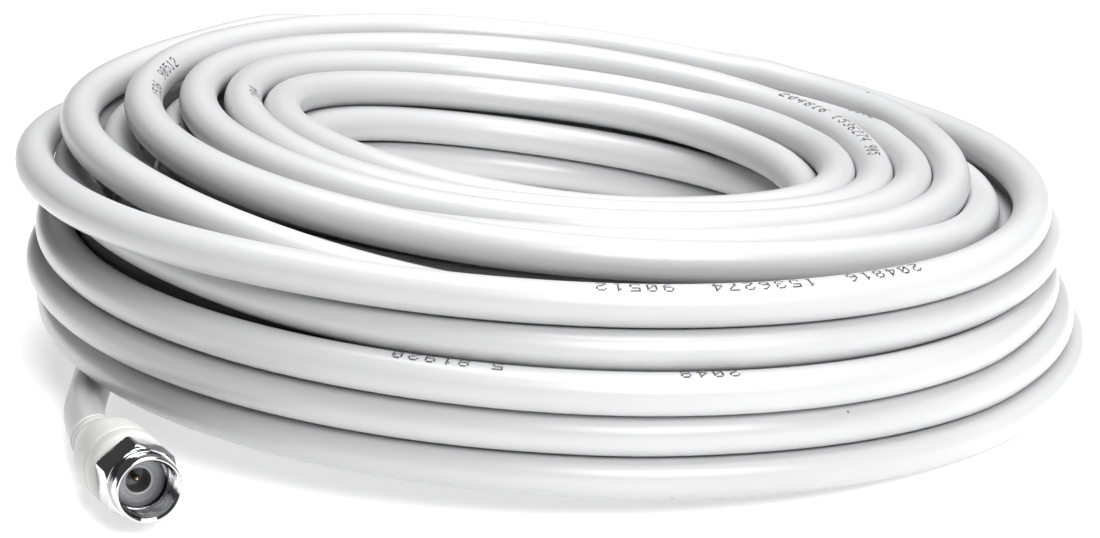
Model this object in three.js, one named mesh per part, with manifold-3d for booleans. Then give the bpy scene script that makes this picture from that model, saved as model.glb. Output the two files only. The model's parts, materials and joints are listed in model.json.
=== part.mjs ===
// A coil of coaxial cable with a screw connector on each end.
// Millimetres, +Z up. The coil lies on a level floor, its left side on its own cable end.
// The origin is on the floor under the middle of the outline, connector included.

import * as THREE from 'three';
import { mergeVertices } from 'three/addons/utils/BufferGeometryUtils.js';
import Module from 'manifold-3d';

// The cable
const cableDiameter = 6.9;
const cableSides = 10;

// The coil
const outerRadius = 98;
const boreRadius = 46;
const wallRows = 5;
const rowPitch = 6.75;
const rowCurve = 50;
const coilSegments = 48;

// The free cable ends. The outer one lies under the coil out to this far inside its wall.
const endInset = 17;
const faceGap = 0.3;

// The connector sleeve, along the connector's axis from the cable end
const sleeveLength = 21.5;
const sleeveRearRadius = 4.2;
const sleeveRadius = 6.4;
const sleeveTaper = 11;
const collarRound = 1.6;
const grooveDepth = 0.3;
const grooveWidth = 0.8;
const grooveStep = 2;
const sleeveSocketDepth = 4;

// The post and the centre pin
const stemRadius = 3;
const flangeRadius = 4.3;
const flangeThickness = 1.4;
const postHoleRadius = 1.95;
const postHoleDepth = 4.2;
const pinRadius = 0.5;
const pinLength = 3.4;

// The nut
const nutAcrossFlats = 11.1;
const nutHexLength = 5.6;
const nutLength = 9;
const nutChamfer = 0.7;
const rimRadius = 5.3;
const nutBoreRadius = 4.75;
const nutLipThickness = 1.5;
const nutClearance = 0.35;
const turnSegments = 32;

// Cable end routes, chosen by hand. Each point is an angle about the coil's middle in degrees,
// how far it lies inside the coil's outer radius, or clear of the bore's wall, and its lift off
// the floor. The last point is the middle of the sleeve's cable end, whose height is the sleeve's.
const outerEndPlaces = [
  [157.5, 9.1, 0], [162.5, 11.3, 0], [167.7, 13.2, 0], [173.1, 14.5, 0], [178.6, 15.2, 0],
  [184.2, 15.3, 0], [189.7, 14.8, 0], [195.1, 13.8, 0], [200.4, 12, 0], [205.1, 9.7, 0],
  [209.3, 6.9, 0], [212.9, 3.8, 0.05], [216.1, 0.9, 0.4], [219.1, -1.8, 1.3], [225.1, -7.2, 0],
];
const outerHeading = 295;
const innerEndPlaces = [
  [10.9, 0.1, 0], [2.7, 0.4, 0], [-5.8, 0.9, 0], [-15.1, 2.3, 0], [-24.3, 4.1, 0.1],
  [-34.5, 6.6, 0.4], [-45.4, 9.7, 1], [-63.4, 15.5, 0],
];
const innerHeading = 180;
const connectorPitch = 3;
const endStraight = 3;

const cableRadius = cableDiameter / 2;
const restRadius = outerRadius - cableRadius;
const nutCornerRadius = nutAcrossFlats / Math.sqrt(3);
const pitch = THREE.MathUtils.degToRad(connectorPitch);
const floorGap = 0.02;
const sleeveRearHeight = sleeveRadius * Math.cos(pitch) - sleeveTaper * Math.sin(pitch) + floorGap;
const endReach = outerRadius - endInset;
const tilt = Math.asin((cableDiameter + faceGap) / (restRadius + endReach));
const boreTouch = boreRadius - cableRadius - faceGap;

const jacket = { color: 0xe4e4e6, roughness: 0.35, metalness: 0 };
const moulding = { color: 0xeeeeef, roughness: 0.4, metalness: 0 };
const nickel = { color: 0xc9cacc, roughness: 0.15, metalness: 1 };
const postMetal = { color: 0x8b8c8e, roughness: 0.5, metalness: 0.9 };
const copper = { color: 0xb87a4a, roughness: 0.3, metalness: 1 };

function mesh(name, geometry, finish) {
  const made = new THREE.Mesh(geometry, new THREE.MeshStandardMaterial(finish));
  made.name = name;
  return made;
}

// Points of an arc about (x, y), from one angle in degrees to another.
function arc(x, y, radius, from, to, steps) {
  const points = [];
  for (let i = 0; i <= steps; i += 1) {
    const angle = THREE.MathUtils.degToRad(from + ((to - from) * i) / steps);
    points.push([x + radius * Math.cos(angle), y + radius * Math.sin(angle)]);
  }
  return points;
}

// A closed profile of [radius, place along the axis] turned about +Z.
function turned(profile, segments) {
  const points = profile.map(([radius, along]) => new THREE.Vector2(Math.max(radius, 0), along));
  if (profile[0][0] > 0 || profile[profile.length - 1][0] > 0) {
    points.push(points[0].clone());
  }
  const geometry = new THREE.LatheGeometry(points, segments);
  geometry.rotateX(Math.PI / 2);
  return geometry;
}

// The wound turns as one ring. Each row of turns shows as a round on the wall, top and bore.
function coilProfile() {
  const wall = [];
  for (let row = 0; row < wallRows; row += 1) {
    const height = cableRadius + row * rowPitch;
    const from = row === 0 ? -90 : -rowCurve;
    wall.push(...arc(restRadius, height, cableRadius, from, rowCurve, 3));
  }
  const top = [];
  const topRow = cableRadius + (wallRows - 1) * rowPitch;
  const firstTop = restRadius - cableDiameter * 0.8;
  const lastTop = boreRadius + cableRadius;
  const topTurns = Math.round((firstTop - lastTop) / cableDiameter);
  for (let turn = 0; turn <= topTurns; turn += 1) {
    const share = turn / topTurns;
    const radius = firstTop + (lastTop - firstTop) * share;
    const crown = cableDiameter * (0.85 + 0.45 * Math.sin(Math.PI * share));
    top.push(...arc(radius, topRow + crown, cableRadius, 90 - rowCurve + 10, 90 + rowCurve - 10, 2));
  }
  const bore = [];
  for (let row = wallRows - 1; row >= 0; row -= 1) {
    const height = cableRadius + row * rowPitch;
    const to = row === 0 ? 270 : 180 + rowCurve;
    bore.push(...arc(boreRadius + cableRadius, height, cableRadius, 180 - rowCurve, to, 3));
  }
  return [...wall, ...top, ...bore];
}

function cableCoil() {
  const coil = mesh('cable_coil', turned(coilProfile(), coilSegments), jacket);
  coil.rotation.y = tilt;
  coil.position.z = restRadius * Math.sin(tilt);
  coil.updateMatrixWorld();
  const box = new THREE.Box3().setFromObject(coil, true);
  coil.position.x = -(box.min.x + box.max.x) / 2;
  return coil;
}

// The direction of a connector's axis, and the middle of its sleeve's cable end.
function connectorAxis(heading) {
  const angle = THREE.MathUtils.degToRad(heading);
  return new THREE.Vector3(Math.cos(angle), Math.sin(angle), Math.tan(pitch)).normalize();
}

// A route's points, each at its angle and this far inside a radius.
function routePoints(places, radius) {
  return places.map(([degrees, inside, lift]) => {
    const angle = THREE.MathUtils.degToRad(degrees);
    const reach = radius - inside;
    const height = cableRadius + floorGap + lift;
    return new THREE.Vector3(reach * Math.cos(angle), reach * Math.sin(angle), height);
  });
}

function sleeveRear(points) {
  return points[points.length - 1].clone().setZ(sleeveRearHeight);
}

// A round tube along a free end. It lies on the floor and ends along its connector's axis.
function cableEnd(name, points, heading) {
  const end = sleeveRear(points);
  const straight = end.clone().addScaledVector(connectorAxis(heading), -endStraight);
  const section = new THREE.Shape();
  for (let side = 0; side < cableSides; side += 1) {
    const angle = (2 * Math.PI * side) / cableSides;
    const x = cableRadius * Math.cos(angle);
    const y = cableRadius * Math.sin(angle);
    if (side === 0) {
      section.moveTo(x, y);
    } else {
      section.lineTo(x, y);
    }
  }
  const path = new THREE.CatmullRomCurve3([...points.slice(0, -1), straight, end]);
  const steps = Math.ceil(path.getLength() / (2 * cableDiameter)) + 8;
  const geometry = new THREE.ExtrudeGeometry(section, { steps, extrudePath: path });
  return mesh(name, geometry, jacket);
}

// Solids for cutting and joining
const wasm = await Module();
wasm.setup();

function toSolid(geometry) {
  const bare = geometry.clone();
  bare.deleteAttribute('normal');
  bare.deleteAttribute('uv');
  const merged = mergeVertices(bare, 1e-4);
  return new wasm.Manifold(new wasm.Mesh({
    numProp: 3,
    vertProperties: new Float32Array(merged.attributes.position.array),
    triVerts: new Uint32Array(merged.index.array),
  }));
}

function toGeometry(solid) {
  const { vertProperties, triVerts } = solid.getMesh();
  const geometry = new THREE.BufferGeometry();
  geometry.setAttribute('position', new THREE.BufferAttribute(new Float32Array(vertProperties), 3));
  geometry.setIndex(new THREE.BufferAttribute(new Uint32Array(triVerts), 1));
  geometry.computeVertexNormals();
  return geometry;
}

// The moulded sleeve: two fine grooves at the cable end, a taper, and a rounded collar
// with the socket that holds the post's stem.
function sleeveProfile() {
  const profile = [[0, 0], [sleeveRearRadius - 0.5, 0], [sleeveRearRadius, 0.5]];
  for (let ring = 1; ring <= 2; ring += 1) {
    const start = ring * grooveStep - grooveWidth / 2;
    profile.push([sleeveRearRadius, start]);
    profile.push([sleeveRearRadius - grooveDepth, start + grooveWidth / 2]);
    profile.push([sleeveRearRadius, start + grooveWidth]);
  }
  profile.push([sleeveRearRadius + (sleeveRadius - sleeveRearRadius) * 0.6, sleeveTaper * 0.6]);
  profile.push([sleeveRadius, sleeveTaper]);
  const round = arc(sleeveRadius - collarRound, sleeveLength - collarRound, collarRound, 0, 90, 4);
  profile.push(...round);
  const socketRadius = stemRadius + faceGap;
  profile.push([socketRadius, sleeveLength]);
  profile.push([socketRadius, sleeveLength - sleeveSocketDepth]);
  profile.push([0, sleeveLength - sleeveSocketDepth]);
  return profile;
}

const nutStart = sleeveLength + nutClearance;
const flangeStart = nutStart + nutLipThickness + nutClearance;
const faceEnd = flangeStart + flangeThickness;

function postProfile() {
  const stemStart = sleeveLength - sleeveSocketDepth + faceGap;
  return [
    [0, stemStart],
    [stemRadius, stemStart],
    [stemRadius, flangeStart],
    [flangeRadius, flangeStart],
    [flangeRadius, faceEnd],
    [postHoleRadius, faceEnd],
    [postHoleRadius, faceEnd - postHoleDepth],
    [0, faceEnd - postHoleDepth],
  ];
}

function pinProfile() {
  const start = faceEnd - postHoleDepth + faceGap;
  return [
    [0, start],
    [pinRadius, start],
    [pinRadius, start + pinLength - pinRadius],
    [pinRadius * 0.4, start + pinLength],
    [0, start + pinLength],
  ];
}

// The nut: a hexagon with chamfered corners, a round rim and a bore with a lip at the back.
function nutGeometry() {
  const hexagon = new THREE.Shape();
  for (let corner = 0; corner < 6; corner += 1) {
    const angle = (Math.PI * corner) / 3;
    const x = nutCornerRadius * Math.cos(angle);
    const y = nutCornerRadius * Math.sin(angle);
    if (corner === 0) {
      hexagon.moveTo(x, y);
    } else {
      hexagon.lineTo(x, y);
    }
  }
  const prism = new THREE.ExtrudeGeometry(hexagon, { depth: nutHexLength, bevelEnabled: false });
  prism.translate(0, 0, nutStart);
  const hexEnd = nutStart + nutHexLength;
  const nutEnd = nutStart + nutLength;
  const limit = turned([
    [0, nutStart],
    [nutCornerRadius - nutChamfer * 0.6, nutStart],
    [nutCornerRadius + 0.01, nutStart + nutChamfer * 0.5],
    [nutCornerRadius + 0.01, hexEnd - nutChamfer],
    [rimRadius, hexEnd + 0.01],
    [0, hexEnd + 0.01],
  ], turnSegments);
  const rim = turned([
    [0, hexEnd - 1],
    [rimRadius, hexEnd - 1],
    [rimRadius, nutEnd - 0.3],
    [rimRadius - 0.3, nutEnd],
    [0, nutEnd],
  ], turnSegments);
  const lipEnd = nutStart + nutLipThickness;
  const bore = turned([
    [0, nutStart - 1],
    [stemRadius + nutClearance, nutStart - 1],
    [stemRadius + nutClearance, lipEnd],
    [nutBoreRadius, lipEnd],
    [nutBoreRadius, nutEnd + 1],
    [0, nutEnd + 1],
  ], turnSegments);
  const body = toSolid(prism).intersect(toSolid(limit)).add(toSolid(rim));
  return toGeometry(body.subtract(toSolid(bore)));
}

// A connector along local +Z, from the sleeve's cable end, laid on the floor by its heading.
function connector(side, points, heading) {
  const group = new THREE.Group();
  group.add(mesh(`${side}_sleeve`, turned(sleeveProfile(), turnSegments), moulding));
  group.add(mesh(`${side}_post`, turned(postProfile(), turnSegments), postMetal));
  group.add(mesh(`${side}_centre_pin`, turned(pinProfile(), 12), copper));
  group.add(mesh(`${side}_nut`, nutGeometry(), nickel));
  const along = connectorAxis(heading);
  group.quaternion.setFromUnitVectors(new THREE.Vector3(0, 0, 1), along);
  group.position.copy(sleeveRear(points)).addScaledVector(along, faceGap);
  return group;
}

const outerRoute = routePoints(outerEndPlaces, outerRadius);
const innerRoute = routePoints(innerEndPlaces, boreTouch);

const part = new THREE.Group();
part.add(cableCoil());
part.add(cableEnd('outer_cable_end', outerRoute, outerHeading));
part.add(cableEnd('inner_cable_end', innerRoute, innerHeading));
part.add(connector('outer', outerRoute, outerHeading));
part.add(connector('inner', innerRoute, innerHeading));

// The middle of the outline stands over the origin.
part.updateMatrixWorld(true);
const outline = new THREE.Box3().setFromObject(part, true);
part.position.y = -(outline.min.y + outline.max.y) / 2;

export default part;
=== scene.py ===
"""Looks of a coil of white coaxial cable with a screw connector on each end.

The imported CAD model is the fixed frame. The cable is wound turn by turn inside the space of the
CAD ring, its two ends follow the CAD routes, and the connectors stand where the joints are.
"""

import json
import math

import bpy
import numpy as np
from bpy.props import FloatProperty, FloatVectorProperty, IntProperty, PointerProperty
from mathutils import Matrix, Vector


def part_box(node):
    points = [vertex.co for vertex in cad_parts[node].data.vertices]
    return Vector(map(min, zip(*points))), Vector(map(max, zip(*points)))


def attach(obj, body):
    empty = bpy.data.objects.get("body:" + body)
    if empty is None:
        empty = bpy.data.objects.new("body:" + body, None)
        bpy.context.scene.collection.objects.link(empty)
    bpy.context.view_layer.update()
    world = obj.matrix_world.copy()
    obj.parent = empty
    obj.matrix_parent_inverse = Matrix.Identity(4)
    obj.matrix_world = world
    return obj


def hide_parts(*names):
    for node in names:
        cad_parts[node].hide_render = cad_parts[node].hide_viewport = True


bl_info = {
    "name": "Coaxial cable coil",
    "version": (1, 0, 0),
    "blender": (4, 5, 0),
    "location": "View3D > Sidebar > Cable coil",
    "description": "Winds a coil of white coaxial cable and finishes its ends and surfaces",
    "category": "Object",
}

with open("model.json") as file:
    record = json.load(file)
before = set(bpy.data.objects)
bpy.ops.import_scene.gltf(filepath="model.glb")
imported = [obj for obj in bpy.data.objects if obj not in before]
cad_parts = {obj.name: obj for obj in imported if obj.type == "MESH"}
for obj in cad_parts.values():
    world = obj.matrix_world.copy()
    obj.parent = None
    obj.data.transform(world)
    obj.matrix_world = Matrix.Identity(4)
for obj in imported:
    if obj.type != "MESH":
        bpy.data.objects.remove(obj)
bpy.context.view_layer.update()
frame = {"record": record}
RECORD = frame["record"]

MM = 0.001
SIDES = ("outer", "inner")


def record_joint(name):
    """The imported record's joint of that name."""
    return next(joint for joint in RECORD["behaviour"]["joints"] if joint["name"] == name)


def record_mount(name):
    """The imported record's mount of that name."""
    return next(mount for mount in RECORD["mounts"] if mount["name"] == name)


# The coil's middle and its lean, from the CAD ring and from the face that it rests on
COIL_LOW, COIL_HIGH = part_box("cable_coil")
MIDDLE_Y = (COIL_LOW.y + COIL_HIGH.y) / 2
UNDERSIDE = record_mount("underside")
LEAN = math.asin(-UNDERSIDE["axis"][0])
LIFT = UNDERSIDE["pos_m"][2] + UNDERSIDE["pos_m"][0] * math.tan(LEAN)

# Cable end routes, as in the part's source: an angle about the coil's middle in degrees, how far
# the point lies inside the coil's outer radius, or clear of the bore's wall, and its lift, in mm.
OUTER_END_PLACES = (
    (157.5, 9.1, 0), (162.5, 11.3, 0), (167.7, 13.2, 0), (173.1, 14.5, 0), (178.6, 15.2, 0),
    (184.2, 15.3, 0), (189.7, 14.8, 0), (195.1, 13.8, 0), (200.4, 12, 0), (205.1, 9.7, 0),
    (209.3, 6.9, 0), (212.9, 3.8, 0.05), (216.1, 0.9, 0.4), (219.1, -1.8, 1.3), (225.1, -7.2, 0),
)
INNER_END_PLACES = (
    (10.9, 0.1, 0), (2.7, 0.4, 0), (-5.8, 0.9, 0), (-15.1, 2.3, 0), (-24.3, 4.1, 0.1),
    (-34.5, 6.6, 0.4), (-45.4, 9.7, 1), (-63.4, 15.5, 0),
)
END_STRAIGHT = 3
FACE_GAP = 0.3
FLOOR_GAP = 0.02

# Loops that show on the outer wall, from the tail under the coil upwards, then the first two on
# top. Each has its left, back, right and front place: a radius and a height above the underside.
WALL_LOOPS = (
    ((83.0, -3.7), (92.5, 3.5), (92.6, 3.5), (93.2, 4.0)),
    ((91.4, 4.8), (92.5, 10.2), (90.8, 9.6), (93.4, 10.8)),
    ((93.4, 11.0), (91.5, 16.9), (87.4, 15.6), (92.9, 17.3)),
    ((92.0, 17.2), (90.0, 22.8), (86.2, 21.4), (90.4, 22.8)),
    ((87.4, 28.6), (87.5, 28.6), (83.4, 30.4), (88.6, 29.2)),
    ((95.5, 28.8), (84.0, 22.8), (80.2, 22.0), (82.8, 26.0)),
    ((87.9, 34.8), (82.5, 29.4), (76.0, 14.8), (82.8, 19.4)),
)
# Hidden loops as places in the winding's section: a column from the outside and a row upwards.
# On the coil's left and right: the radius before the first column, and how far apart the columns
# and the rows lie. Half-way round, at the back and front, the rows lie MIDDLE_ROW apart.
LEFT_GRID = (92.5, 7.05, 7.3)
RIGHT_GRID = (87.6, 6.4, 6.5)
MIDDLE_ROW = 6.9
LOWEST_ROW = 3.5
HIDDEN_PLACES = (
    (1, 2), (1, 1), (1, 0), (2, 0), (3, 0), (4, 0), (5, 0), (5, 1), (5, 2),
    (5, 3), (4, 3), (4, 2), (4, 1), (3, 1), (2, 1), (2, 2), (3, 2), (3, 3),
)
# Loops that show on top and on the bore's far wall, down to the one that leaves along the floor
TOP_LOOPS = (
    ((81.8, 30.5), (76.0, 28.5), (76.0, 25.2), (75.6, 33.2)),
    ((76.3, 38.2), (76.0, 35.4), (71.0, 29.9), (68.6, 33.2)),
    ((71.0, 32.2), (70.0, 28.4), (63.4, 30.0), (61.8, 34.4)),
    ((67.5, 39.7), (67.0, 32.6), (57.2, 30.0), (55.0, 35.0)),
    ((58.6, 38.8), (59.4, 29.6), (50.0, 29.6), (48.8, 33.4)),
    ((52.0, 37.2), (52.2, 27.2), (46.5, 24.6), (49.2, 26.0)),
    ((50.0, 30.0), (49.8, 20.4), (48.6, 18.0), (49.4, 19.0)),
    ((50.0, 22.8), (49.8, 13.6), (49.3, 11.2), (49.4, 12.2)),
    ((50.0, 15.0), (49.8, 6.8), (42.5, 3.6), (42.0, 3.6)),
)
# Where a turn strays from that even way: its loop, how many quarters on, over how many quarters,
# and how far outwards and upwards
BENDS = (
    (3, 3.50, 0.35, 0.0, 0.9),
    (3, 3.80, 0.30, 1.6, -1.6),
    (4, 1.45, 0.40, 0.0, -1.4),
    (4, 2.45, 0.28, 3.2, -1.6),
    (5, 3.50, 0.40, -1.2, 2.0),
    (25, 2.50, 0.40, 0.0, 1.8),
    (26, 0.50, 0.45, 0.0, 1.0),
    (26, 1.50, 0.40, 0.0, -2.9),
    (27, 3.50, 0.40, 0.0, -2.0),
    (28, 1.45, 0.45, 0.0, -2.0),
    (28, 3.50, 0.40, 0.0, -2.2),
    (29, 1.50, 0.45, 0.0, -1.5),
    (29, 2.40, 0.50, 0.0, -2.2),
    (31, 1.30, 0.40, 0.0, -1.0),
)
STEPS = 64
QUARTER = STEPS // 4

# Stretches with printed numbers: a loop, counted from the tail, the angle where the print starts,
# how far it is turned up from facing outwards, both in degrees, and the print
PRINTED_STRETCHES = (
    (2, -74, 84, "2048"),
    (2, -97, 84, "5 81920"),
    (4, -55, 76, "204816  1536274  90512"),
    (26, 187, 138, "1536  90512"),
    (26, -152, 88, "274 90512"),
    (27, 30, 72, "8192"),
    (28, 43, 92, "204816 1536274 905"),
    (1, 30, 10, "0020 4816"),
    (29, 189, 128, "204"),
)
# Digits as five columns of dots by seven rows
DIGIT_ROWS = {
    "0": "01110 10001 10011 10101 11001 10001 01110",
    "1": "00100 01100 00100 00100 00100 00100 01110",
    "2": "01110 10001 00001 00110 01000 10000 11111",
    "3": "01110 10001 00001 00110 00001 10001 01110",
    "4": "00010 00110 01010 10010 11111 00010 00010",
    "5": "11111 10000 11110 00001 00001 10001 01110",
    "6": "00110 01000 10000 11110 10001 10001 01110",
    "7": "11111 00001 00010 00100 01000 01000 01000",
    "8": "01110 10001 10001 01110 10001 10001 01110",
    "9": "01110 10001 10001 01111 00001 00010 01100",
}


class CableSettings(bpy.types.PropertyGroup):
    """Sizes and colours of the cable"""

    diameter: FloatProperty(
        name="Diameter", description="Across the jacket", default=0.0069, unit="LENGTH")
    outer_radius: FloatProperty(
        name="Coil radius", description="Outside of the wound coil", default=0.098, unit="LENGTH")
    bore_radius: FloatProperty(
        name="Bore radius", description="Inside of the wound coil", default=0.046, unit="LENGTH")
    wander: FloatProperty(
        name="Wander", description="How far the turns stray from even lay",
        default=0.00055, unit="LENGTH")
    ring_sides: IntProperty(
        name="Sides", description="Faces round the jacket", default=20, min=8, max=32)
    ring_step: FloatProperty(
        name="Step", description="Length of one face along the cable", default=0.0045,
        unit="LENGTH")
    jacket: FloatVectorProperty(
        name="Jacket", description="Colour of the clean jacket", default=(0.50, 0.50, 0.505),
        subtype="COLOR")
    ink: FloatVectorProperty(
        name="Ink", description="Colour of the printed marks", default=(0.035, 0.035, 0.04),
        subtype="COLOR")


class ConnectorSettings(bpy.types.PropertyGroup):
    """Sizes and colours of the screw connectors"""

    sleeve_length: FloatProperty(
        name="Sleeve length", description="Moulded sleeve, end to end", default=0.0215,
        unit="LENGTH")
    sleeve_radius: FloatProperty(
        name="Sleeve radius", description="Moulded sleeve at the nut", default=0.0064,
        unit="LENGTH")
    across_flats: FloatProperty(
        name="Across flats", description="Nut's hexagon", default=0.0111, unit="LENGTH")
    nut_length: FloatProperty(
        name="Nut length", description="Hexagon and rim together", default=0.009, unit="LENGTH")
    hexagon_length: FloatProperty(
        name="Hexagon length", description="Nut's hexagon alone", default=0.0056, unit="LENGTH")
    rim_radius: FloatProperty(
        name="Rim radius", description="Round rim at the open end", default=0.0053,
        unit="LENGTH")
    thread_pitch: FloatProperty(
        name="Thread pitch", description="Nut's inner thread", default=0.00079, unit="LENGTH")
    sleeve_colour: FloatVectorProperty(
        name="Sleeve", description="Colour of the moulding", default=(0.50, 0.50, 0.495),
        subtype="COLOR")
    plating: FloatVectorProperty(
        name="Plating", description="Colour of the nut", default=(0.50, 0.50, 0.51),
        subtype="COLOR")
    post_colour: FloatVectorProperty(
        name="Post", description="Colour of the post's face", default=(0.40, 0.40, 0.41),
        subtype="COLOR")
    wire_colour: FloatVectorProperty(
        name="Wire", description="Colour of the centre wire", default=(0.42, 0.33, 0.26),
        subtype="COLOR")


class StageSettings(bpy.types.PropertyGroup):
    """Floor, light and camera"""

    floor_colour: FloatVectorProperty(
        name="Floor", description="Colour of the floor", default=(0.74, 0.74, 0.74),
        subtype="COLOR")
    elevation: FloatProperty(
        name="Elevation", description="Camera above the horizon", default=math.radians(16.8),
        subtype="ANGLE")
    roll: FloatProperty(
        name="Roll", description="Camera turned about its view", default=math.radians(0.70),
        subtype="ANGLE")
    distance: FloatProperty(
        name="Distance", description="Camera to its target", default=0.520, unit="LENGTH")
    lens: FloatProperty(
        name="Lens", description="Focal length on a 36 mm sensor, in mm", default=91.83)


class Value:
    """One socket's value. Arithmetic on it adds Math nodes."""

    def __init__(self, finish, socket):
        self.finish = finish
        self.socket = socket

    def _math(self, operation, *values):
        return self.finish.node("ShaderNodeMath", {"operation": operation}, dict(enumerate(values)))

    def __add__(self, other):
        return self._math("ADD", self, other)

    def __radd__(self, other):
        return self._math("ADD", other, self)

    def __sub__(self, other):
        return self._math("SUBTRACT", self, other)

    def __rsub__(self, other):
        return self._math("SUBTRACT", other, self)

    def __mul__(self, other):
        return self._math("MULTIPLY", self, other)

    def __rmul__(self, other):
        return self._math("MULTIPLY", other, self)

    def __gt__(self, other):
        return self._math("GREATER_THAN", self, other)

    def __lt__(self, other):
        return self._math("LESS_THAN", self, other)

    def between(self, low, high):
        """0 at low, 1 at high, smooth in between."""
        return self.finish.node(
            "ShaderNodeMapRange", {"interpolation_type": "SMOOTHSTEP"},
            {0: self, 1: low, 2: high, 3: 0.0, 4: 1.0})


class Finish:
    """A material made of one Principled shader and the nodes that feed it."""

    def __init__(self, name):
        self.material = bpy.data.materials.new(name)
        self.material.use_nodes = True
        self.tree = self.material.node_tree
        self.shader = self.tree.nodes["Principled BSDF"]

    def node(self, kind, settings=None, values=None, output=0):
        """Adds a node: its settings first, then the values or links of its sockets."""
        made = self.tree.nodes.new(kind)
        for name, setting in (settings or {}).items():
            setattr(made, name, setting)
        for key, value in (values or {}).items():
            self._feed(made.inputs[key], value)
        return Value(self, made.outputs[output])

    def _feed(self, socket, value):
        if isinstance(value, Value):
            self.tree.links.new(value.socket, socket)
        elif socket.type == "RGBA":
            socket.default_value = (*value[:3], 1.0)
        else:
            socket.default_value = value

    def shade(self, **values):
        """Sets the shader's sockets; an underscore in a name stands for a space."""
        for name, value in values.items():
            self._feed(self.shader.inputs[name.replace("_", " ")], value)
        return self.material

    def place(self):
        """Where a point lies on the object, in metres."""
        return self.node("ShaderNodeTexCoord", output="Object")

    def run(self):
        """Length along the piece in metres, and the cosine and sine of the angle round it."""
        return self.node(
            "ShaderNodeAttribute", {"attribute_name": "run"}, output="Vector")

    def stretch(self, vector, factors):
        """A vector with each part multiplied by its own factor."""
        return self.node("ShaderNodeVectorMath", {"operation": "MULTIPLY"}, {0: vector, 1: factors})

    def noise(self, vector, scale, detail=2.0):
        """A soft random value from 0 to 1."""
        return self.node(
            "ShaderNodeTexNoise", None, {"Vector": vector, "Scale": scale, "Detail": detail})

    def cells(self, vector, scale):
        """Distance to the nearest of a scatter of points, and that point's own random value."""
        feeds = {"Vector": vector, "Scale": scale}
        distance = self.node("ShaderNodeTexVoronoi", None, feeds, "Distance")
        colour = self.node("ShaderNodeTexVoronoi", None, feeds, "Color")
        return distance, self.node("ShaderNodeSeparateColor", None, {0: colour}, "Red")

    def mix(self, share, first, second):
        """A colour between first and second."""
        return self.node(
            "ShaderNodeMix", {"data_type": "RGBA"}, {0: share, 6: first, 7: second}, 2)

    def bump(self, height, distance, strength=1.0):
        """A normal tilted by a height."""
        return self.node(
            "ShaderNodeBump", None,
            {"Strength": strength, "Distance": distance, "Height": height})


def shaded(colour, factor):
    """A colour made darker or lighter."""
    return tuple(min(1.0, part * factor) for part in colour)


def jacket_finish(colour):
    """White PVC: soft gloss, faint handling marks and a few dark specks."""
    finish = Finish("white_cable_jacket")
    place = finish.place()
    run = finish.run()
    cloud = finish.noise(place, 22.0)
    handled = finish.noise(finish.stretch(run, (26.0, 0.8, 0.8)), 1.0, 3.0).between(0.46, 0.72)
    distance, pick = finish.cells(finish.stretch(run, (160.0, 0.55, 0.55)), 1.0)
    speck = (distance < 0.045) * (pick > 0.90)
    scuff_distance, scuff_pick = finish.cells(finish.stretch(run, (48.0, 1.7, 1.7)), 1.0)
    scuff = (scuff_distance < 0.05) * (scuff_pick > 0.88)
    clean = finish.mix(cloud.between(0.35, 0.7), shaded(colour, 0.955), colour)
    worn = finish.mix(handled * 0.35, clean, shaded(colour, 0.86))
    scuffed = finish.mix(scuff * 0.5, worn, shaded(colour, 0.5))
    fine = finish.noise(finish.stretch(run, (900.0, 3.0, 3.0)), 1.0)
    return finish.shade(
        Base_Color=finish.mix(speck * 0.8, scuffed, (0.12, 0.11, 0.10)),
        Roughness=0.27 + handled * 0.14 + cloud * 0.05,
        Specular_IOR_Level=0.5,
        Normal=finish.bump(fine, 0.00004, 0.6),
    )


def ink_finish(colour):
    """Printed marks, slightly worn."""
    finish = Finish("printed_mark_ink")
    worn = finish.noise(finish.place(), 900.0, 3.0).between(0.42, 0.72)
    return finish.shade(
        Base_Color=finish.mix(worn * 0.55, colour, (0.30, 0.30, 0.31)),
        Roughness=0.5 + worn * 0.15,
    )


def moulding_finish(colour):
    """Moulded white plastic with a fine satin skin."""
    finish = Finish("white_moulded_sleeve")
    place = finish.place()
    cloud = finish.noise(place, 160.0, 3.0)
    distance, pick = finish.cells(place, 900.0)
    speck = (distance < 0.16) * (pick > 0.95)
    skin = finish.noise(place, 2600.0, 2.0)
    clean = finish.mix(cloud.between(0.3, 0.75), shaded(colour, 0.94), colour)
    return finish.shade(
        Base_Color=finish.mix(speck * 0.6, clean, (0.22, 0.21, 0.20)),
        Roughness=0.34 + cloud * 0.12,
        Normal=finish.bump(skin, 0.00003, 0.5),
    )


def plating_finish(colour):
    """Bright nickel with faint turning lines and stains."""
    finish = Finish("bright_nickel_nut")
    place = finish.place()
    run = finish.run()
    stain = finish.noise(place, 420.0, 4.0).between(0.45, 0.8)
    lines = finish.noise(finish.stretch(run, (9000.0, 0.4, 0.4)), 1.0, 1.0)
    return finish.shade(
        Base_Color=finish.mix(stain * 0.4, colour, shaded(colour, 0.72)),
        Metallic=1.0,
        Roughness=0.07 + stain * 0.10 + lines * 0.05,
        Normal=finish.bump(lines, 0.000006, 0.5),
    )


def post_finish(colour):
    """Matt grey plated metal with turning rings."""
    finish = Finish("matt_grey_post")
    place = finish.place()
    run = finish.run()
    grain = finish.noise(place, 2200.0, 3.0)
    rings = finish.noise(finish.stretch(run, (5200.0, 0.2, 0.2)), 1.0, 1.0)
    return finish.shade(
        Base_Color=finish.mix(grain, shaded(colour, 0.8), shaded(colour, 1.15)),
        Metallic=0.85,
        Roughness=0.42 + grain * 0.16,
        Normal=finish.bump(rings, 0.00001, 0.6),
    )


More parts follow.
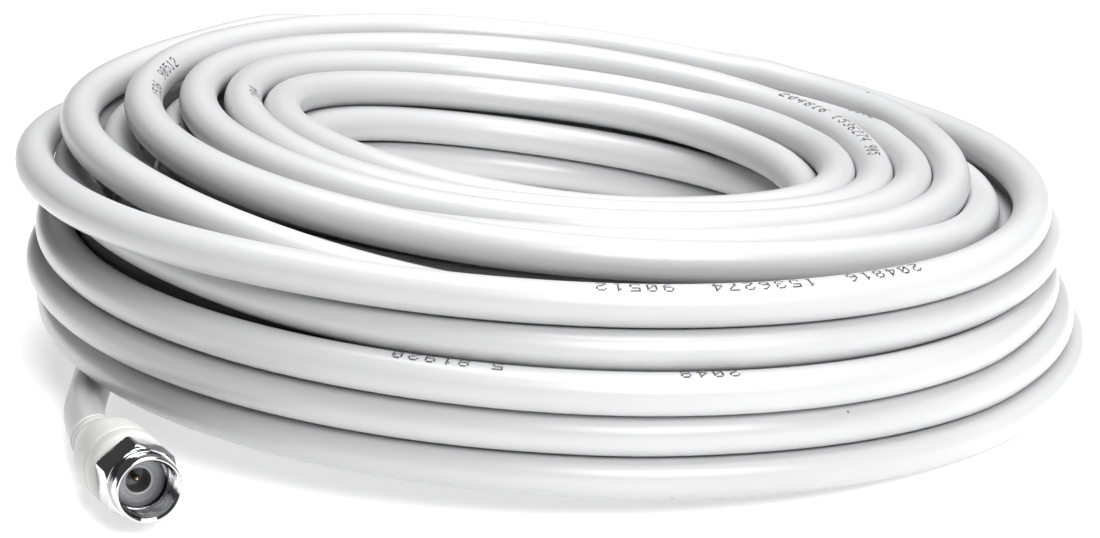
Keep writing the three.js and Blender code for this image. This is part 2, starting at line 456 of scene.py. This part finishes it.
def wire_finish(colour):
    """Bare copper-clad wire, a little dull."""
    finish = Finish("bare_centre_wire")
    dull = finish.noise(finish.place(), 1500.0, 3.0).between(0.4, 0.8)
    return finish.shade(
        Base_Color=finish.mix(dull * 0.6, colour, shaded(colour, 0.55)),
        Metallic=1.0,
        Roughness=0.22 + dull * 0.2,
    )


def floor_finish(colour):
    """Plain pale studio floor."""
    finish = Finish("pale_studio_floor")
    cloud = finish.noise(finish.place(), 3.0)
    return finish.shade(
        Base_Color=finish.mix(cloud, shaded(colour, 0.99), colour),
        Roughness=0.9,
        Specular_IOR_Level=0.1,
        Emission_Color=(1.0, 1.0, 1.0),
        Emission_Strength=0.45,
    )


def piece_from(name, points, faces, finish, run=None, sharp=math.radians(35)):
    """A smooth-shaded mesh object in the scene, with its material."""
    made = bpy.data.meshes.new(name)
    made.from_pydata(np.asarray(points, float).tolist(), [], faces)
    made.materials.append(finish)
    if run is not None:
        attribute = made.attributes.new("run", "FLOAT_VECTOR", "POINT")
        attribute.data.foreach_set("vector", np.asarray(run, np.float32).ravel())
    made.polygons.foreach_set("use_smooth", [True] * len(made.polygons))
    made.set_sharp_from_angle(angle=sharp)
    made.update()
    piece = bpy.data.objects.new(name, made)
    bpy.context.scene.collection.objects.link(piece)
    return piece


def grid_faces(rows, columns, close_rows=False):
    """Faces of a grid of points that closes on itself across its columns."""
    row = np.arange(rows if close_rows else rows - 1)[:, None]
    column = np.arange(columns)[None, :]
    after, beside = (row + 1) % rows, (column + 1) % columns
    corners = (
        row * columns + column, row * columns + beside,
        after * columns + beside, after * columns + column,
    )
    return np.stack([np.broadcast_to(c, (len(row), columns)) for c in corners], -1).reshape(-1, 4)


class Winding:
    """The cable's line: every turn worked out from a few places, then packed until none overlap."""

    # How strongly hidden and visible turns are drawn to their places, and how readily they and
    # the fixed ends give way to a neighbour
    hidden_pull, seen_pull = 0.004, 0.04
    hidden_give, seen_give, end_give = 1.0, 0.2, 0.02
    # Rounds of packing, the last of which only push, and the pushes in each round
    rounds, closing_rounds, pushes = 240, 60, 3
    smoothing = 0.25
    spacing = 1.003
    push_share = 0.6

    def __init__(self, settings):
        self.diameter = settings.diameter / MM
        self.outer_radius = settings.outer_radius / MM
        self.bore_touch = settings.bore_radius / MM - self.diameter / 2 - FACE_GAP
        self.wander = settings.wander / MM
        self.ring_step = settings.ring_step / MM
        self.lowest = self.diameter / 2 + FLOOR_GAP

    def hidden_loops(self):
        """Loops inside the winding, on even columns and rows."""
        for column, row in HIDDEN_PLACES:
            left = LEFT_GRID[0] - LEFT_GRID[1] * column
            right = RIGHT_GRID[0] - RIGHT_GRID[1] * column
            half_way = ((left + right) / 2, LOWEST_ROW + MIDDLE_ROW * row)
            yield (
                (left, LOWEST_ROW + LEFT_GRID[2] * row), half_way,
                (right, LOWEST_ROW + RIGHT_GRID[2] * row), half_way,
            )

    def to_world(self, radius, height, angle):
        """Points on the leaning coil, in millimetres in the frame."""
        x, y = radius * np.cos(angle), radius * np.sin(angle)
        lean, lift = LEAN, LIFT / MM
        return np.stack([
            x * math.cos(lean) + height * math.sin(lean),
            y + MIDDLE_Y / MM,
            height * math.cos(lean) - x * math.sin(lean) + lift,
        ], -1)

    def route(self, places, start_radius, sleeve):
        """A cable end's route from the coil to its sleeve, in millimetres."""
        points = []
        for angle, inside, lift in places:
            radius, turned = start_radius - inside, math.radians(angle)
            points.append([
                radius * math.cos(turned), radius * math.sin(turned) + MIDDLE_Y / MM,
                self.lowest + lift])
        start, along = sleeve
        points[-1] = list(start)
        points.insert(-1, list(start - along * END_STRAIGHT))
        return np.array(points)

    def ends(self):
        """Both routes, from the coil outwards."""
        outer = self.route(OUTER_END_PLACES, self.outer_radius, sleeve_line("outer"))
        inner = self.route(INNER_END_PLACES, self.bore_touch, sleeve_line("inner"))
        return outer, inner

    def polar(self, route):
        """Angle in degrees, radius and height of a route on the leaning coil."""
        x, y, height = route[:, 0], route[:, 1] - MIDDLE_Y / MM, route[:, 2] - LIFT / MM
        flat = x * math.cos(LEAN) - height * math.sin(LEAN)
        up = x * math.sin(LEAN) + height * math.cos(LEAN)
        return np.degrees(np.arctan2(y, flat)) % 360, np.hypot(flat, y), up

    def wound(self):
        """Radius and height of every step of every turn, before packing."""
        loops = [*WALL_LOOPS, *self.hidden_loops(), *TOP_LOOPS]
        stations = np.array([place for loop in loops for place in loop])
        steps = np.arange((len(stations) - 1) * QUARTER + 1)
        lay = catmull_rom(stations, steps / QUARTER)
        for loop, quarters, reach, outwards, upwards in BENDS:
            away = (steps / QUARTER - loop * 4 - quarters) / reach
            lay += np.exp(-away ** 2)[:, None] * (outwards, upwards)
        return lay

    def strays(self, count):
        """Smooth small strays from even lay, the same each run."""
        random = np.random.default_rng(11)
        step = np.arange(count)[:, None, None]
        wave = random.uniform(0.35, 2.3, (1, 2, 9)) / STEPS
        phase = random.uniform(0, 2 * math.pi, (1, 2, 9))
        size = random.uniform(0.4, 1.0, (1, 2, 9)) / 3
        return (size * np.sin(2 * math.pi * wave * step + phase)).sum(-1) * self.wander

    def packed(self):
        """Radius and height of every free step after packing, and the angle of each."""
        lay = self.wound()
        lay += self.strays(len(lay))
        outer, inner = self.ends()
        lead = QUARTER // 2
        count = -(-(len(lay) + lead) // STEPS) * STEPS
        step = np.arange(count) - lead
        angle = 180.0 - 360.0 * step / STEPS
        target = lay[np.clip(step, 0, len(lay) - 1)].copy()
        wall, hidden = len(WALL_LOOPS), len(WALL_LOOPS) + len(HIDDEN_PLACES)
        buried = (step > (wall - 0.9) * STEPS) & (step < hidden * STEPS)
        pull = np.where(buried, self.hidden_pull, self.seen_pull)
        give = np.where(buried, self.hidden_give, self.seen_give)
        held = np.zeros(count, bool)
        for route, near in ((outer, step < STEPS // 2), (inner, step > len(lay) - STEPS)):
            turned, radius, height = self.polar(route)
            turned = np.unwrap(turned, period=360)
            order = np.argsort(turned)
            seen = (angle - turned[0] + 180) % 360 - 180 + turned[0]
            on = near & (seen >= turned.min() - 0.01) & (seen <= turned.max() + 0.01)
            held |= on
            for part, values in enumerate((radius, height)):
                target[on, part] = np.interp(seen[on], turned[order], values[order])
        first, last = np.flatnonzero(held)[[0, -1]]
        inside = np.zeros(count, bool)
        inside[first:last + 1] = True
        give[held] = self.end_give
        place = self.pressed(target, pull, give, held, inside, np.radians(angle))
        free = inside & ~held
        return place[free], np.radians(angle[free])

    def pressed(self, target, pull, give, held, inside, angle):
        """Pushes overlapping turns apart while each is drawn to its place and kept smooth.
        Of two that overlap, the one with more give moves more."""
        turns = len(target) // STEPS
        first, second = np.triu_indices(turns, 1)
        floor = self.lowest - LIFT / MM + target[:, 0] * np.cos(angle) * math.sin(LEAN)
        both = inside.reshape(turns, STEPS)
        both = both[first] & both[second]
        loose = give.reshape(turns, STEPS)
        share = loose[first] / (loose[first] + loose[second])
        place = target.copy()
        for number in range(self.rounds):
            if number <= self.rounds - self.closing_rounds:
                place[1:-1] += self.smoothing * ((place[:-2] + place[2:]) / 2 - place[1:-1])
                place += pull[:, None] * (target - place)
            for _ in range(self.pushes):
                turn = place.reshape(turns, STEPS, 2)
                apart = turn[first] - turn[second]
                distance = np.sqrt((apart ** 2).sum(-1)) + 1e-9
                overlap = np.clip(self.diameter * self.spacing - distance, 0, None)
                push = overlap * both * self.push_share
                push = apart / distance[..., None] * push[..., None]
                moved = np.zeros_like(turn)
                np.add.at(moved, first, push * share[..., None])
                np.add.at(moved, second, push * (share[..., None] - 1))
                place = (turn + moved).reshape(-1, 2)
                place[:, 1] = np.maximum(place[:, 1], floor)
                place[held] = target[held]
        return place

    def line(self):
        """The cable's whole centreline from the outer sleeve to the inner one, in metres."""
        outer, inner = self.ends()
        place, angle = self.packed()
        turns = self.to_world(place[:, 0], place[:, 1], angle)
        points = np.vstack([outer[::-1], turns, inner])
        return even_steps(points, self.ring_step) * MM


def catmull_rom(stations, where):
    """A smooth line through stations, read at places counted in stations."""
    last = len(stations) - 1
    near = np.clip(np.floor(where).astype(int), 0, last - 1)
    part = (where - near)[:, None]
    before, start, end, after = (stations[np.clip(near + k, 0, last)] for k in (-1, 0, 1, 2))
    return 0.5 * (
        2 * start + (end - before) * part
        + (2 * before - 5 * start + 4 * end - after) * part ** 2
        + (3 * start - before - 3 * end + after) * part ** 3)


def even_steps(points, step):
    """Points at even lengths along a smooth line through points."""
    fine = catmull_rom(points, np.linspace(0, len(points) - 1, (len(points) - 1) * 8 + 1))
    length = np.concatenate([[0], np.cumsum(np.linalg.norm(np.diff(fine, axis=0), axis=1))])
    wanted = np.linspace(0, length[-1], int(length[-1] / step) + 1)
    return np.stack([np.interp(wanted, length, fine[:, k]) for k in range(3)], -1)


def sleeve_line(side):
    """Start of a connector's axis, at its sleeve's cable end, and its direction, in mm."""
    joint = record_joint(f"{side}_nut_spin")
    return np.array(joint["pos_m"]) / MM, np.array(joint["axis"])


def line_frames(line):
    """Direction, sideways and upward vectors at each point of a line."""
    along = np.gradient(line, axis=0)
    along /= np.linalg.norm(along, axis=1)[:, None]
    sideways = np.cross([0.0, 0.0, 1.0], along)
    sideways /= np.linalg.norm(sideways, axis=1)[:, None]
    return along, sideways, np.cross(along, sideways)


def connector_frame(side):
    """Matrix that puts a connector's own axis, its +Z from the cable end, into the frame."""
    start, along = sleeve_line(side)
    turn = Vector((0, 0, 1)).rotation_difference(Vector(along))
    return Matrix.Translation(Vector(start * MM)) @ turn.to_matrix().to_4x4()


def turned_piece(name, profile, side, finish, segments=96, radius_at=None):
    """A closed profile of (length, radius) pairs in mm, turned about a connector's axis."""
    profile = np.array(profile, float)
    angle = np.arange(segments) * 2 * math.pi / segments
    length = np.repeat(profile[:, :1], segments, 1)
    radius = np.repeat(profile[:, 1:], segments, 1)
    if radius_at is not None:
        radius = radius_at(radius, length, angle)
    points = np.stack([radius * np.cos(angle), radius * np.sin(angle), length], -1)
    points = points.reshape(-1, 3) * MM
    faces = grid_faces(len(profile), segments, close_rows=True)
    travelled = np.concatenate([[0], np.cumsum(np.linalg.norm(np.diff(profile, axis=0), axis=1))])
    run = np.stack([
        np.repeat(travelled[:, None] * MM, segments, 1),
        np.repeat(np.cos(angle)[None, :], len(profile), 0),
        np.repeat(np.sin(angle)[None, :], len(profile), 0),
    ], -1).reshape(-1, 3)
    piece = piece_from(name, points, faces.tolist(), finish, run)
    piece.data.transform(connector_frame(side))
    return piece


def arc_points(centre, radius, start, end, count=8):
    """Points of an arc in a profile, by angles in degrees from the length axis."""
    angles = np.radians(np.linspace(start, end, count))
    return [(centre[0] + radius * math.cos(a), centre[1] + radius * math.sin(a)) for a in angles]


class CABLE_OT_sleeves(bpy.types.Operator):
    """Mould the white sleeves between cable and nut"""

    bl_idname = "cable_coil.sleeves"
    bl_label = "Moulded sleeves"

    def execute(self, context):
        sizes = context.scene.coil_connector
        finish = moulding_finish(sizes.sleeve_colour)
        radius, length = sizes.sleeve_radius / MM, sizes.sleeve_length / MM
        rear, collar, groove = 3.95, 1.6, 0.32
        profile = [(0.0, 3.5), (0.0, rear - 0.25), (0.08, rear - 0.07), (0.25, rear)]
        for middle in (1.7, 3.6):
            profile += [
                (middle - 0.45, rear + 0.03 * middle), (middle - 0.3, rear - groove + 0.08),
                (middle, rear - groove), (middle + 0.3, rear - groove + 0.08),
                (middle + 0.45, rear + 0.05 * middle),
            ]
        flare = [(4.8, 4.28), (6.2, 4.62), (7.8, 5.15), (9.3, 5.72), (10.4, 6.1), (11.6, 6.32)]
        profile += [*flare, (13.0, radius), (15.5, radius), (17.2, radius)]
        profile += [(17.5, radius - 0.05), (17.62, radius - 0.16), (17.78, radius - 0.16)]
        profile += [(17.9, radius - 0.04), (18.1, radius)]
        profile += arc_points((length - collar, radius - collar), collar, 90, 0, 9)
        profile += [(length, 3.4), (length - 3.9, 3.4), (3.8, 3.4), (3.8, 3.5)]
        for side in SIDES:
            piece = turned_piece(f"{side}_moulded_sleeve", profile, side, finish, 72)
            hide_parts(f"{side}_sleeve")
            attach(piece, "cable")
        return {"FINISHED"}


class CABLE_OT_posts(bpy.types.Operator):
    """Turn the grey posts whose flange shows inside the nut"""

    bl_idname = "cable_coil.posts"
    bl_label = "Posts"

    def execute(self, context):
        finish = post_finish(context.scene.coil_connector.post_colour)
        stem, flange, hole, hole_depth = 3.0, 4.3, 1.95, 4.2
        start, flange_back, face = 18.0, 23.7, 25.1
        profile = [
            (start, 0.0), (start, stem), (flange_back, stem), (flange_back, flange - 0.1),
            (flange_back + 0.1, flange),
            (face - 0.2, flange), (face - 0.06, flange - 0.06), (face, flange - 0.2),
            (face, flange - 1.0), (face - 0.06, flange - 1.06), (face - 0.06, hole + 0.55),
            (face, hole + 0.5), (face, hole + 0.2), (face - 0.06, hole + 0.06),
            (face - 0.2, hole), (face - hole_depth, hole), (face - hole_depth, 0.0),
        ]
        for side in SIDES:
            piece = turned_piece(f"{side}_grey_post", profile, side, finish, 72)
            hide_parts(f"{side}_post")
            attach(piece, "cable")
        return {"FINISHED"}


class CABLE_OT_wires(bpy.types.Operator):
    """Set the bare centre wire in each post's hole"""

    bl_idname = "cable_coil.wires"
    bl_label = "Centre wires"

    def execute(self, context):
        finish = wire_finish(context.scene.coil_connector.wire_colour)
        radius, start, length = 0.5, 20.95, 3.4
        end = start + length
        profile = [
            (start, 0.0), (start, radius), (end - 0.35, radius), (end - 0.12, radius - 0.14),
            (end, radius - 0.3), (end, 0.0),
        ]
        for side in SIDES:
            piece = turned_piece(f"{side}_centre_wire", profile, side, finish, 32)
            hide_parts(f"{side}_centre_pin")
            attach(piece, "cable")
        return {"FINISHED"}


class CABLE_OT_nuts(bpy.types.Operator):
    """Cut the loose hexagon nuts with their round rims and inner threads"""

    bl_idname = "cable_coil.nuts"
    bl_label = "Hexagon nuts"

    start = 21.85
    lip = 1.5
    lip_radius = 3.35
    bore = 4.72
    bore_start = 1.9
    thread_points = 42
    thread_depth = 0.26

    def execute(self, context):
        sizes = context.scene.coil_connector
        finish = plating_finish(sizes.plating)
        across, rim = sizes.across_flats / MM / 2, sizes.rim_radius / MM
        pitch = sizes.thread_pitch / MM
        hexagon_end = self.start + sizes.hexagon_length / MM
        end = self.start + sizes.nut_length / MM
        corner = across / math.cos(math.pi / 6)
        lip_end = self.start + self.lip
        thread_start = lip_end + self.bore_start
        turns = np.linspace(thread_start, end - 0.35, self.thread_points)
        outside = [(self.start, corner - 0.75), (self.start + 0.12, corner - 0.45)]
        outside += [(self.start + part, corner - 0.3 + part * 0.55) for part in (0.25, 0.45, 0.6)]
        outside += [(self.start + 1.2, corner + 1), (hexagon_end - 0.95, corner + 1)]
        outside += [
            (hexagon_end - 0.62 + part * 0.62, corner + 0.02 - part ** 1.3 * 0.72)
            for part in np.linspace(0, 1, 9)]
        outside += [(hexagon_end, rim + 0.25), (hexagon_end + 0.02, rim + 0.02)]
        outside += [(hexagon_end + 0.25, rim - 0.05), (hexagon_end + 0.55, rim)]
        outside += arc_points((end - 0.28, rim - 0.28), 0.28, 90, 0, 6)
        inside = [(end, self.bore + 0.12), (end - 0.12, self.bore)]
        inside += [(length, self.bore) for length in turns[::-1]]
        inside += [(thread_start - 0.3, self.bore + 0.02), (lip_end, self.bore + 0.02)]
        inside += [(lip_end, self.lip_radius), (self.start, self.lip_radius)]
        threaded = (turns[0], turns[-1])

        def radius_at(radius, length, angle):
            """The hexagon's flats on the outside and the thread's ridges in the bore."""
            flat = np.minimum(across / np.cos(angle % (math.pi / 3) - math.pi / 6), corner - 0.07)
            shaped = np.minimum(radius, flat[None, :])
            on_thread = (radius < self.bore + 0.01) & (radius > self.bore - 0.01)
            on_thread &= (length >= threaded[0]) & (length <= threaded[1])
            turn = (length / pitch + angle / (2 * math.pi)) % 1.0
            ridge = 1 - np.abs(2 * turn - 1)
            return np.where(on_thread, shaped - self.thread_depth * ridge, shaped)

        for side in SIDES:
            piece = turned_piece(
                f"{side}_hexagon_nut", outside + inside, side, finish, 144, radius_at)
            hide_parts(f"{side}_nut")
            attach(piece, f"{side}_nut_body")
        return {"FINISHED"}


class CABLE_OT_cable(bpy.types.Operator):
    """Wind the cable as one length from the outer sleeve to the inner one"""

    bl_idname = "cable_coil.cable"
    bl_label = "Cable"

    inside_sleeve = 2.5
    skin = 0.00003

    def execute(self, context):
        settings = context.scene.coil_cable
        line = Winding(settings).line()
        tucked = [
            (start + along * self.inside_sleeve) * MM
            for start, along in (sleeve_line("outer"), sleeve_line("inner"))]
        whole = np.vstack([tucked[0], line, tucked[1]])
        along, sideways, upward = line_frames(whole)
        sides, radius = settings.ring_sides, settings.diameter / 2
        angle = np.arange(sides) * 2 * math.pi / sides
        round_trip = (
            sideways[:, None, :] * np.cos(angle)[None, :, None]
            + upward[:, None, :] * np.sin(angle)[None, :, None])
        rings = whole[:, None, :] + (radius - self.skin) * round_trip
        travelled = np.concatenate([[0], np.cumsum(np.linalg.norm(np.diff(whole, axis=0), axis=1))])
        run = np.stack([
            np.repeat(travelled[:, None], sides, 1),
            np.repeat(np.cos(angle)[None, :], len(whole), 0),
            np.repeat(np.sin(angle)[None, :], len(whole), 0),
        ], -1)
        faces = grid_faces(len(whole), sides)[:, ::-1].tolist()
        last = (len(whole) - 1) * sides
        faces.append(list(range(sides)))
        faces.append([last + k for k in reversed(range(sides))])
        piece = piece_from(
            "coaxial_cable", rings.reshape(-1, 3), faces, jacket_finish(settings.jacket),
            run.reshape(-1, 3), math.radians(60))
        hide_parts("cable_coil", "outer_cable_end", "inner_cable_end")
        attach(piece, "cable")
        return {"FINISHED"}


class CABLE_OT_marks(bpy.types.Operator):
    """Print plain numbers on some stretches of the jacket"""

    bl_idname = "cable_coil.marks"
    bl_label = "Printed numbers"

    pitch = 2.6
    dot = 0.33
    dot_cover = 0.84
    thickness = 0.015
    fine_step = 0.5

    def execute(self, context):
        settings = context.scene.coil_cable
        winding = Winding(settings)
        place, angle = winding.packed()
        line = winding.to_world(place[:, 0], place[:, 1], angle)
        fine = even_steps(line, self.fine_step)
        along, sideways, upward = line_frames(fine)
        radius = settings.diameter / MM / 2 + self.thickness
        corners = []
        for loop, start, roll, text in PRINTED_STRETCHES:
            near = int(loop * STEPS + (180 - start) / 360 * STEPS) - int(
                round((180 - math.degrees(angle[0])) / 360 * STEPS))
            first = int(np.argmin(np.linalg.norm(fine - line[near], axis=1)))
            for number, letter in enumerate(text):
                if letter == " ":
                    continue
                rows = DIGIT_ROWS[letter].split()
                for row, dots in enumerate(rows):
                    for column, dot in enumerate(dots):
                        if dot == "0":
                            continue
                        across = number * self.pitch + column * self.dot
                        step = first + across / self.fine_step
                        lean = math.radians(roll) - (3 - row) * self.dot / radius
                        corners.append((step, lean))
        points, faces = [], []
        half = self.dot * self.dot_cover / 2
        for step, lean in corners:
            for across, up in ((-1, -1), (1, -1), (1, 1), (-1, 1)):
                at = step + across * half / self.fine_step
                near = min(int(at), len(fine) - 2)
                part = at - near
                centre = fine[near] * (1 - part) + fine[near + 1] * part
                turned = lean + up * half / radius
                points.append(
                    centre + radius * (
                        sideways[near] * math.cos(turned) + upward[near] * math.sin(turned)))
            first = len(points) - 4
            faces.append([first, first + 1, first + 2, first + 3])
        piece = piece_from(
            "printed_numbers", np.array(points) * MM, faces, ink_finish(settings.ink))
        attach(piece, "cable")
        return {"FINISHED"}


class CABLE_OT_stage(bpy.types.Operator):
    """Lay the pale floor, hang the soft lights and set up the camera"""

    bl_idname = "cable_coil.stage"
    bl_label = "Floor, light and camera"

    target = Vector((-1.16 * MM, MIDDLE_Y, 12.2 * MM))
    room_light = 0.10
    softboxes = (
        ("key_softbox", (0.45, -0.80, 0.70), (0.7, 0.5), 10.0),
        ("top_softbox", (0.10, 0.10, 0.95), (0.9, 0.7), 12.6),
    )

    def execute(self, context):
        settings = context.scene.coil_stage
        self.lay_floor(settings)
        for name, place, size, power in self.softboxes:
            self.hang(name, place, size, power)
        self.light_world()
        self.place_camera(context, settings)
        return {"FINISHED"}

    def lay_floor(self, settings):
        """A wide flat floor under the coil."""
        half, drop = 6.0, -0.0002
        corners = [
            (-half, -half, drop), (half, -half, drop), (half, half, drop), (-half, half, drop)]
        floor = piece_from(
            "studio_floor", corners, [[0, 1, 2, 3]], floor_finish(settings.floor_colour))

    def hang(self, name, place, size, power):
        """A rectangular soft light that faces the coil."""
        data = bpy.data.lights.new(name, "AREA")
        data.shape = "RECTANGLE"
        data.size, data.size_y = size
        data.energy = power
        light = bpy.data.objects.new(name, data)
        light.location = place
        facing = self.target - Vector(place)
        light.rotation_euler = facing.to_track_quat("-Z", "Y").to_euler()
        bpy.context.scene.collection.objects.link(light)

    def light_world(self):
        """Even pale light from all round."""
        world = bpy.data.worlds.new("pale_room")
        world.use_nodes = True
        background = world.node_tree.nodes["Background"]
        background.inputs["Color"].default_value = (1.0, 1.0, 1.0, 1.0)
        background.inputs["Strength"].default_value = self.room_light
        bpy.context.scene.world = world
        bpy.context.scene.view_settings.view_transform = "Standard"
        bpy.context.scene.view_settings.look = "Medium High Contrast"

    def place_camera(self, context, settings):
        """The photograph's camera, on the coil's front side and a little above it."""
        data = bpy.data.cameras.new("photo_camera")
        data.lens = settings.lens
        data.sensor_width = 36.0
        data.clip_start, data.clip_end = 0.02, 20.0
        camera = bpy.data.objects.new("photo_camera", data)
        rise = settings.elevation
        back = Vector((0.0, -math.cos(rise), math.sin(rise)))
        turn = Matrix.Rotation(math.pi / 2 - rise, 4, "X") @ Matrix.Rotation(settings.roll, 4, "Z")
        camera.matrix_world = Matrix.Translation(self.target + back * settings.distance) @ turn
        context.scene.collection.objects.link(camera)
        context.scene.camera = camera


class CABLE_PT_coil(bpy.types.Panel):
    """Sizes, colours and steps of the coil"""

    bl_idname = "CABLE_PT_coil"
    bl_label = "Cable coil"
    bl_space_type = "VIEW_3D"
    bl_region_type = "UI"
    bl_category = "Cable coil"

    def draw(self, context):
        for group in (context.scene.coil_cable, context.scene.coil_connector,
                      context.scene.coil_stage):
            box = self.layout.box()
            for name in group.__annotations__:
                box.prop(group, name)
        for operator in OPERATORS:
            self.layout.operator(operator.bl_idname)


OPERATORS = (
    CABLE_OT_stage, CABLE_OT_sleeves, CABLE_OT_posts, CABLE_OT_wires, CABLE_OT_nuts,
    CABLE_OT_cable, CABLE_OT_marks,
)
CLASSES = (CableSettings, ConnectorSettings, StageSettings, *OPERATORS, CABLE_PT_coil)


def register():
    """Adds the classes and the scene's settings."""
    for made in CLASSES:
        bpy.utils.register_class(made)
    bpy.types.Scene.coil_cable = PointerProperty(type=CableSettings)
    bpy.types.Scene.coil_connector = PointerProperty(type=ConnectorSettings)
    bpy.types.Scene.coil_stage = PointerProperty(type=StageSettings)


def unregister():
    """Takes the settings and the classes away again."""
    del bpy.types.Scene.coil_stage
    del bpy.types.Scene.coil_connector
    del bpy.types.Scene.coil_cable
    for made in reversed(CLASSES):
        bpy.utils.unregister_class(made)


def main():
    """Builds the coil with the operators, in order."""
    register()
    bpy.ops.cable_coil.stage()
    bpy.ops.cable_coil.sleeves()
    bpy.ops.cable_coil.posts()
    bpy.ops.cable_coil.wires()
    bpy.ops.cable_coil.nuts()
    bpy.ops.cable_coil.cable()
    bpy.ops.cable_coil.marks()


if __name__ == "__main__":
    main()
